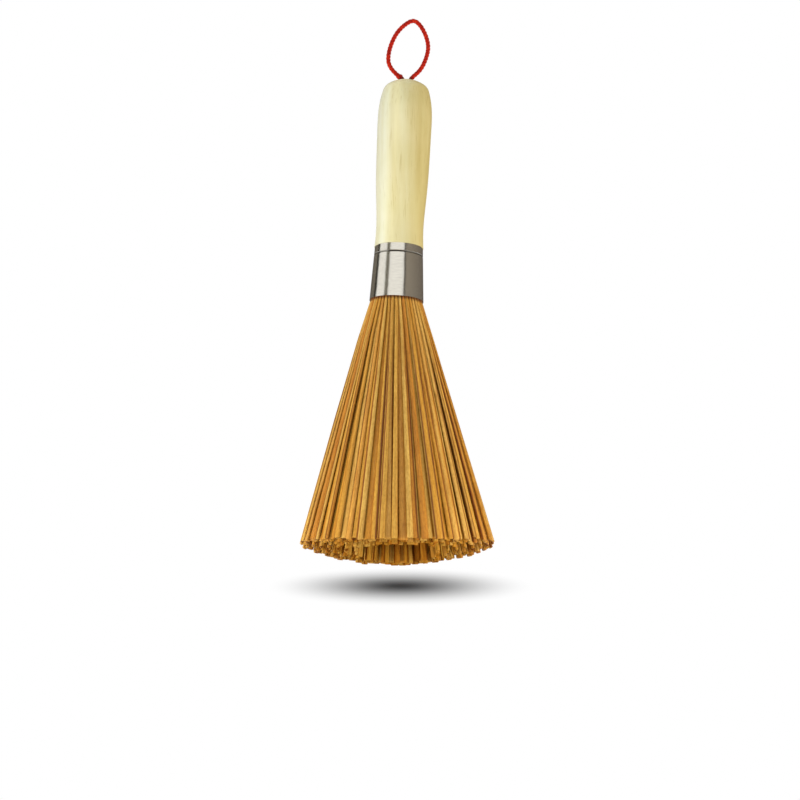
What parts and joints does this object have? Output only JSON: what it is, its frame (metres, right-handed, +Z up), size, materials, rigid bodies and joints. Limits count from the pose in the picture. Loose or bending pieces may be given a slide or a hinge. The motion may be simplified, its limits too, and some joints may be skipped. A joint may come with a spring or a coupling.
{
  "type": "bamboo wok brush",
  "caption": "Wok brush: a splayed head of split bamboo splints in a conical metal ferrule, on a turned wooden handle with a cord loop for hanging.",
  "frame": {"origin": "on the ground, midway between the outermost tips of the splints", "axes": "+Z up from the splints' tips through the ferrule and handle, +X to the side that the handle leans to, -Y to the front"},
  "size_m": [0.0984, 0.0906, 0.286],
  "materials": {
    "handle_wood": "sanded pale wood, unvarnished",
    "ferrule_metal": "bright rolled sheet metal",
    "loop_cord": "twisted red cord",
    "splints": "split bamboo, dry and matt"
  },
  "bodies": {
    "root": {"handle": "handle_wood", "ferrule": "ferrule_metal", "hanging_loop": "loop_cord", "splint_ring_1": "splints", "splint_ring_2": "splints", "splint_ring_3": "splints", "splint_ring_4": "splints", "splint_ring_5": "splints", "splint_ring_6": "splints", "splint_ring_7": "splints", "splint_ring_8": "splints"}
  },
  "joints": []
}
